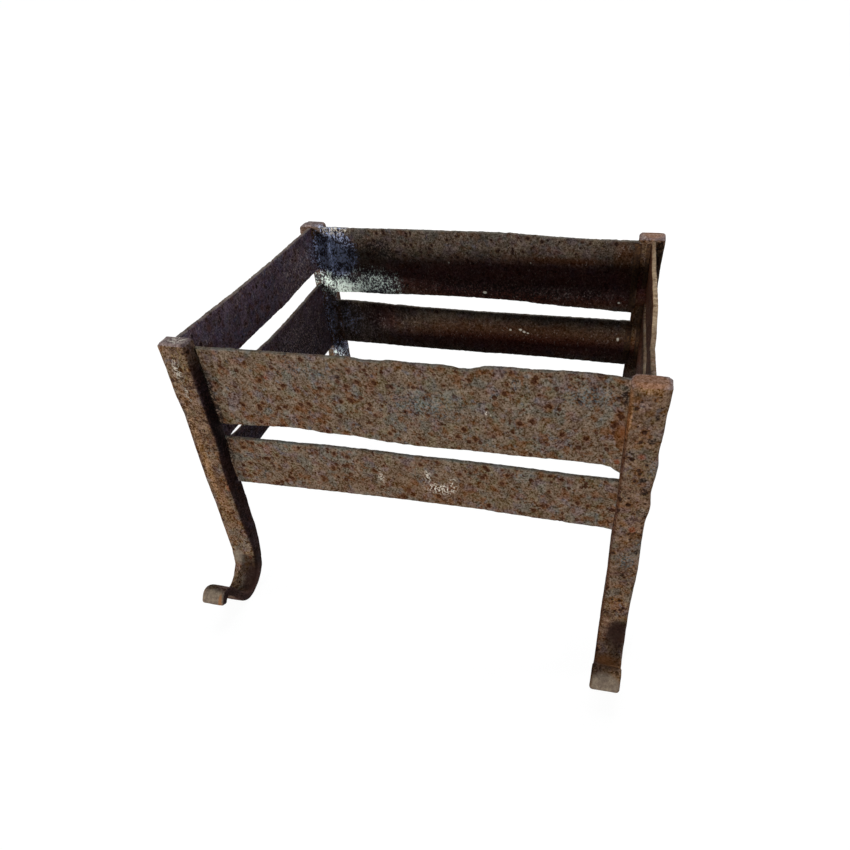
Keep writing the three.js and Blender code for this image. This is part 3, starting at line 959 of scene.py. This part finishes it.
def rust_coat(coat, ground, brown, pit, bloom_from, contrast, patchy=1.0):
    """Rusted iron: mottled ground, patches of hue, brown bloom, blisters and gritty grain."""
    coat.colour = coat.ramp(coat.noise(14, 2, 0.6), ground_spread, ground)
    for layer, (size, start, most, tint) in enumerate(hue_patches):
        coat.lay(coat.mask(coat.noise(size, 1.5, 0.5, layer + 1), start, start + patch_slope,
                           most * patchy), tint)
    rough_edge = coat.noise(1.9, 2, 0.6, 6)
    ragged = coat.times(coat.minus(rough_edge, 0.5), 0.8)
    bloom = coat.plus(coat.noise(7.5, 2, 0.55, 7, 0.3),
                      coat.times(coat.mark("ochre"), ochre_push))
    coat.lay(coat.mask(bloom, bloom_from, bloom_from + bloom_slope, bloom_most), brown)
    halo = coat.plus(coat.mark("halo"), coat.times(ragged, 0.4))
    coat.lay(coat.mask(halo, *halo_mask), brown)
    core = coat.mask(coat.plus(coat.mark("pit"), coat.times(ragged, 0.6)), *core_mask)
    coat.lay(core, pit)
    coat.lay(coat.mask(coat.plus(coat.mark("red"), ragged), *red_mask), red_rust)
    coat.lay(stained(coat, "teal", coat.mask(rough_edge, 0.4, 0.6), 0.5), teal_rust)
    coat.stain("rust", *looks["rust"])
    # Painted shade: a dark red tint on the back rails' shaded bands
    coat.tint(coat.mask(coat.mark("painted_shade_plum"), *painted_shade_plum_mask), painted_shade_plum_tint)
    # Tan rust, partly a painted highlight
    coat.stain("tan_and_painted_highlight", *looks["tan_and_painted_highlight"])
    coarse, fine = coat.noise(2.8, 2, 0.6, 8), coat.noise(1.35, 1, 0.5, 9)
    grain = coat.plus(coat.times(coarse, 0.4), coat.times(fine, 0.6))
    swing = contrast * grain_swing
    swing = coat.level(grain, 0.38, 0.62, 1 - swing, 1 + swing)
    coat.colour = coat.grained(coat.colour, swing)
    coat.lay(coat.mask(coat.noise(2.3, 1, 0.5, 10), *speck_mask), pit)
    # Soot, and painted shade in the shaded places that its stains cover
    broken = coat.math("MAXIMUM", coat.mask(grain, 0.66, 0.44),
                       coat.mask(coat.mark("soot_and_painted_shade"), 0.9, 1.5))
    coat.lay(stained(coat, "soot_and_painted_shade", broken, 0.9), soot_and_shade_black)
    return grain, core


# The worn feet and edges
worn_mask = (0.08, 0.5, 0.9)
worn_swing = 0.18


def worn_places(coat, smoother):
    """Feet and edges that use has rubbed smooth and pale."""
    pale = coat.ramp(coat.noise(5, 5, 0.65, 17), *smoother)
    swing = coat.level(coat.noise(1.6, 2, 0.6, 18), 0.35, 0.65, 1 - worn_swing, 1 + worn_swing)
    coat.stain("worn", *worn_mask, coat.scale(pale, swing))


# Dry rust: how rough it is in its low and its high grain, and how little it shines
rough_low, rough_high = 0.92, 0.68
rust_shine = 0.05


def finish_rust(coat, grain, core, depth):
    """The finished rust, rougher in its low grain, with its blisters sunk in."""
    height = coat.minus(grain, coat.times(core, 0.5))
    return coat.set(
        Base_Color=coat.colour, Metallic=0.0, Specular_IOR_Level=rust_shine,
        Roughness=coat.level(grain, 0.35, 0.65, rough_low, rough_high),
        Normal=coat.bump(height, depth, 0.9))


# Deposits in the back left corner, the lowest first: their most and their colour. The chalk is
# partly a painted pool of light
deposits = {"dust": (0.9, "a5918c"), "powder": (0.95, "b4c1e6"), "frost": (0.8, "c4cfec"),
            "chalk_and_painted_light": (1.0, "e6f4ea")}
deposit_shade = "262633"
shade_mask = (0.05, 0.5, 0.75)
gap_mask = (0.54, 0.62, 0.75)
chip_pale = "d8cfc0"


def sprinkled(coat, kind, speckle, ragged, most):
    """Specks of a deposit, denser where its stain is stronger."""
    stain = coat.times(coat.mark(kind), coat.level(ragged, 0.3, 0.7, 0.3, 1.7))
    grown = coat.plus(speckle, coat.level(stain, 0, 1.2, -0.15, 0.03))
    return coat.times(coat.mask(stain, 0.02, 0.2), coat.mask(grown, 0.40, 0.54, most))


def corner_deposits(coat):
    """The powder and lime in the back left corner, the lime partly a painted pool of light, and
    the pale chips of the rails.
    """
    speckle = coat.noise(1.6, 3, 0.65, 12, rise=0.7)
    ragged = coat.noise(9, 3, 0.6, 21)
    shade = coat.math("MAXIMUM", coat.mark("powder"), coat.mark("chalk_and_painted_light"))
    coat.lay(coat.mask(shade, *shade_mask), deposit_shade)
    for kind, (most, tint) in deposits.items():
        coat.lay(sprinkled(coat, kind, speckle, ragged, most), tint)
    gaps = coat.times(coat.mask(coat.noise(2.1, 2, 0.6, 24), *gap_mask),
                      coat.mask(coat.mark("powder"), 0.3, 1.0))
    coat.lay(gaps, deposit_shade)
    coat.lay(stained(coat, "chip", squiggles(coat, 4.4, 0.035, 13), 1.0), chip_pale)
    coat.stain("fleck", *looks["fleck"])


# Worn iron: spread of its colours over a noise, and the colours from dark to light
pale_iron = (0.14, "72665c 8a7c70 a0948a")
beige_iron = (0.12, "684f3a a98e70 c9b08f")
foot_iron = (0.14, "5c5048 74675a 8c7e6c")

glint_mask = (0.60, 0.68, 0.5)
glint_pale = "8f7f78"
edge_mask = (0.9, 1.0, 0.45)
rail_depth = 0.5 * mm


def rail_rust(name, ground, brown, pit, bloom_from, inner_painted_shade, worn, smoother=pale_iron):
    """Rust of a rail, with painted shade on its sides that look into the basket, and rubbed along
    its edges.
    """
    coat = Coat(name)
    grain, core = rust_coat(coat, ground, brown, pit, bloom_from, 1.0)
    # Painted shade on the sides that look into the basket
    coat.tint(coat.mark("inner"), inner_painted_shade)
    glints = coat.mask(coat.noise(1.7, 2, 0.6, 22, rise=0.6), *glint_mask)
    coat.lay(coat.times(coat.mark("inner"), glints), glint_pale)
    edge_wear = coat.times(coat.mask(coat.mark("edge"), *edge_mask),
                           coat.mask(coat.noise(9, 4, 0.6, 14), 0.36, 0.6))
    coat.lay(edge_wear, worn)
    worn_places(coat, smoother)
    coat.stain("orange", *looks["rail_orange"])
    corner_deposits(coat)
    return finish_rust(coat, grain, core, rail_depth)


# Rails by side: ground, brown, pits, start of the bloom, painted shade inside the basket, worn
# edges
def front_rail_rust():
    return rail_rust("front_rail_rust", "58473a 645344 6e5e4f", "5e3b20", "381e10",
                     0.56, "b0bcc8", "666a64")


def back_rail_rust():
    return rail_rust("back_rail_rust", "584e43 695d50 776b5a", "5b4028", "2c1a14",
                     0.64, "c0babc", "6a665e")


def left_rail_rust():
    return rail_rust("left_rail_rust", "544541 64554e 75665d", "623f26", "2c1a16",
                     0.62, "b6acd0", "8c7f76")


def right_rail_rust():
    return rail_rust("right_rail_rust", "5a4230 6b4f38 7c5f46", "6a3f1c", "2c1a10",
                     0.56, "8a6444", "9a8870", beige_iron)


# The legs: ground and head from dark to light, and the marks that only they have
leg_ground = "533f31 634d3d 735b49"
head_iron = (0.14, "655757 82716f 9a8b86")
head_tan_mask = (0.05, 0.5, 0.85)
head_tan = "92684e"
leg_patchy = 0.75
scratch_pale = "98845f"
blotch_mask = (0.52, 0.62, 0.6)
blotch_shade = 0.62
crack_mask = (0.48, 0.6, 0.8)
crack_dark = "2b1b14"
head_mask = (0.3, 0.7, 0.85)
leg_depth = 0.6 * mm


def leg_rust(name, contrast, scratched, inner_painted_shade):
    """Rust of a leg, scratched and cracked, with a paler head and worn feet."""
    coat = Coat(name)
    grain, core = rust_coat(coat, leg_ground, "623f20", "2a1912", 0.58, contrast, leg_patchy)
    scratches = coat.mask(coat.noise(1.5, 2, 0.6, 23, 0.4, 0.35), 0.58, 0.66, scratched)
    outside = coat.mask(coat.mark("inner"), 0.6, 0.0)
    coat.lay(coat.times(scratches, outside), scratch_pale)
    blotches = coat.mask(coat.noise(11, 3, 0.6, 15), *blotch_mask)
    coat.lay(blotches, coat.scale(coat.colour, blotch_shade))
    cracks = coat.times(squiggles(coat, 13, 0.016, 19),
                        coat.mask(coat.noise(17, 2, 0.5, 20), *crack_mask))
    coat.lay(cracks, crack_dark)
    ragged = coat.times(coat.minus(grain, 0.5), 0.8)
    head = coat.mask(coat.plus(coat.mark("head"), ragged), *head_mask)
    smoother = coat.ramp(coat.noise(6, 3, 0.6, 16), *head_iron)
    smoother = coat.mix(coat.mask(coat.mark("tan_and_painted_highlight"), *head_tan_mask), smoother, head_tan)
    coat.lay(head, coat.grained(smoother, coat.level(grain, 0.36, 0.64, 0.7, 1.3)))
    worn_places(coat, foot_iron)
    # Painted shade on the leg's inner side
    coat.tint(coat.mark("inner"), inner_painted_shade)
    coat.stain("orange", *looks["leg_orange"])
    # Painted shade in the hollow bends of the front feet
    coat.stain("painted_concave_shade", *looks["painted_concave_shade"])
    corner_deposits(coat)
    return finish_rust(coat, grain, core, leg_depth)


weld_ground = "2a1c17 433024 63472e"
weld_roughness = 0.85
weld_depth = 0.4 * mm


def weld_rust():
    coat = Coat("weld_rust")
    coat.colour = coat.ramp(coat.noise(3, 5, 0.7), ground_spread, weld_ground)
    grain = coat.noise(0.9, 3, 0.7, 1)
    corner_deposits(coat)
    return coat.set(
        Base_Color=coat.colour, Roughness=weld_roughness, Metallic=0.0,
        Specular_IOR_Level=rust_shine, Normal=coat.bump(grain, weld_depth, 0.8))


# The object: a seed for each piece, so that no two share their noise
first_rail_seed = 3
first_leg_seed = 20
first_weld_seed = 40


def build_rails():
    panels = {"front": ("front_rails", front_rail_rust()),
              "back": ("back_rails", back_rail_rust()),
              "left": ("side_rails", left_rail_rust()),
              "right": ("side_rails", right_rail_rust())}
    for seed, node in enumerate(rail_edges, first_rail_seed):
        rail(node, *panels[node.split("_")[1]], seed)


def build_legs():
    # Legs: contrast, scratches, and the painted shade on their inner sides
    scratched = leg_rust("scratched_leg_rust", 1.15, 0.45, "6e5f6c")
    plain = leg_rust("leg_rust", 0.95, 0.3, "b8a090")
    for seed, corner in enumerate(legs, first_leg_seed):
        leg(corner, scratched if corner == "front_left" else plain, seed)


def build_welds():
    finish = weld_rust()
    nodes = sorted(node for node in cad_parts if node.startswith("weld"))
    for seed, node in enumerate(nodes, first_weld_seed):
        weld(node, finish, seed)


# Floor, light and camera. The floor glows, evenly white in the distance
floor_reach = 30.0
floor_white = 0.12
floor_glow = 0.94
near_floor = 0.5
far_floor = 1.6
sky_level = 0.085


def seen_directly(tree):
    """1 for rays that are seen, 0 for those that only give light."""
    path = tree.nodes.new("ShaderNodeLightPath").outputs
    seen = path["Is Camera Ray"]
    for other in ("Is Glossy Ray", "Is Transmission Ray"):
        seen = step(tree, "Math", {0: seen, 1: path[other]}, operation="MAXIMUM")
    return seen


def floor_paint():
    coat = Coat("floor_white")
    far = step(coat.tree, "VectorMath", {0: coat.place}, "Value", operation="LENGTH")
    glow = coat.level(far, near_floor, far_floor, floor_glow, 1.0)
    return coat.set(
        Base_Color=(floor_white,) * 3 + (1.0,), Roughness=0.9, Specular_IOR_Level=0.0,
        Emission_Color=(1.0, 1.0, 1.0, 1.0),
        Emission_Strength=coat.times(seen_directly(coat.tree), glow))


def build_floor():
    bm = bmesh.new()
    bmesh.ops.create_grid(bm, x_segments=1, y_segments=1, size=floor_reach)
    add_shape("floor", bm, floor_paint())


def build_sky():
    world = bpy.data.worlds.new("studio")
    bpy.context.scene.world = world
    world.use_nodes = True
    tree = world.node_tree
    level = step(tree, "MapRange", {"To Min": sky_level, "To Max": 1.0,
                                    "Value": seen_directly(tree)}, "Result")
    background = tree.nodes["Background"]
    background.inputs["Color"].default_value = (1, 1, 1, 1)
    put(tree, background.inputs["Strength"], level)


# Soft square lamps aimed at the basket: azimuth, elevation, distance, width, energy, colour
lamp_aim = (0, 0, 0.2)
warm_light = (1.0, 0.98, 0.95)
lamps = {
    "front_lamp": (-13, 5.4, 6.0, 0.4, 240, warm_light),
    "left_lamp": (-55, 2.5, 3.0, 0.15, 36, (0.98, 1.0, 1.0)),
    "top_lamp": (200, 72, 2.2, 1.6, 26, (0.9, 0.95, 1.0)),
    "side_lamp": (84, 9, 2.4, 0.5, 22, (0.88, 0.93, 1.0)),
    "low_lamp": (97, 1, 3.0, 0.2, 12, warm_light),
    "back_lamp": (172, 6, 3.0, 0.4, 50, warm_light),
}


def build_lamps():
    for name, (azimuth, elevation, distance, width, energy, colour) in lamps.items():
        data = bpy.data.lights.new(name, "AREA")
        data.shape, data.size, data.energy, data.color = "SQUARE", width, energy, colour
        a, e = math.radians(azimuth), math.radians(elevation)
        back = Vector((math.sin(a) * math.cos(e), -math.cos(a) * math.cos(e), math.sin(e)))
        light = add_object(name, data)
        light.location = Vector(lamp_aim) + back * distance
        light.rotation_mode = "QUATERNION"
        light.rotation_quaternion = back.to_track_quat("Z", "Y")


# The camera, solved from the straight rails and square corners in the photograph
camera_place = (0.1630, -0.5527, 0.5358)
camera_ahead = (-0.209, 0.775, -0.5964)
camera_up = (-0.1002, 0.5896, 0.8014)
sensor_width = 36.0
photo_side = 850
focal_pixels = 653.3
centre_pixels = (464.5, 430.2)


def build_camera():
    data = bpy.data.cameras.new("camera")
    data.sensor_width = sensor_width
    data.lens = focal_pixels * sensor_width / photo_side
    data.shift_x = 0.5 - centre_pixels[0] / photo_side
    data.shift_y = centre_pixels[1] / photo_side - 0.5
    data.clip_start = 0.01
    camera = add_object("camera", data)
    back = -Vector(camera_ahead).normalized()
    right = Vector(camera_up).cross(back).normalized()
    turn = Matrix((right, back.cross(right), back)).transposed()
    camera.matrix_world = Matrix.Translation(camera_place) @ turn.to_4x4()
    bpy.context.scene.camera = camera


build_camera()
build_rails()
build_legs()
build_welds()
build_floor()
build_sky()
build_lamps()
bpy.context.scene.view_settings.view_transform = "Standard"
